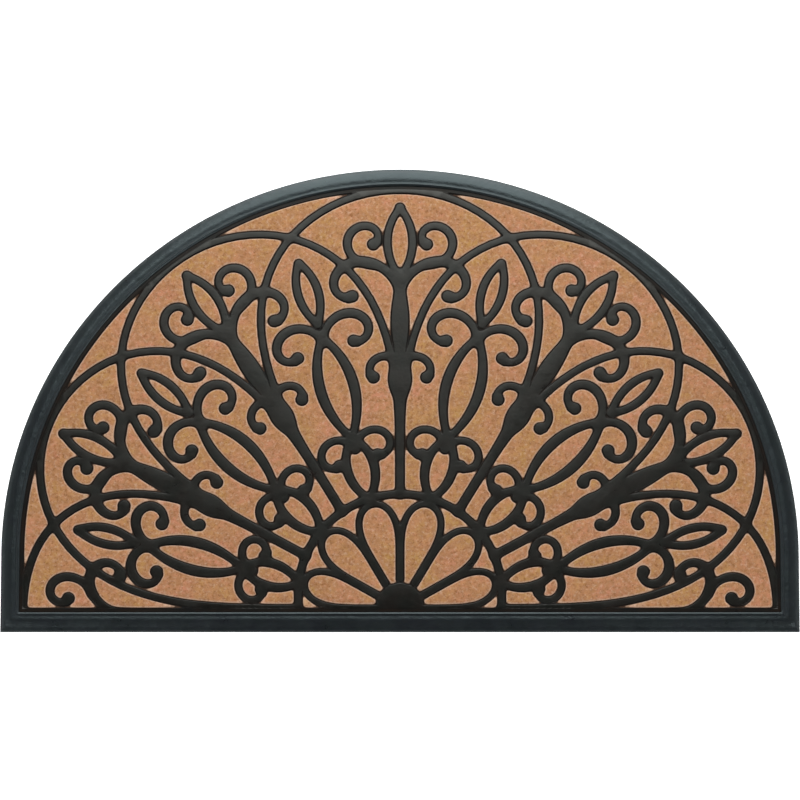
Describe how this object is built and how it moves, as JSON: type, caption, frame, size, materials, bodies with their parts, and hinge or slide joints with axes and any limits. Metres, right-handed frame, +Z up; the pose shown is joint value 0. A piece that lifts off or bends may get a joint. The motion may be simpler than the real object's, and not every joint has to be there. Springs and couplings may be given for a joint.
{
  "type": "half-round doormat",
  "caption": "Half-round rubber doormat with a bevelled rubber border and a tan felt face crossed by raised rubber scrollwork.",
  "frame": {"origin": "middle of the mat's bounding box, on the floor it lies on", "axes": "+X along the straight front edge, +Y from the straight edge to the top of the arc, +Z up"},
  "size_m": [0.75, 0.45, 0.0101],
  "materials": {
    "black_rubber": "matte",
    "tan_felt": "needle-punched"
  },
  "bodies": {
    "root": {"rubber_tray": "black_rubber", "felt_facing": "tan_felt", "rubber_scrollwork": "black_rubber"}
  },
  "joints": []
}
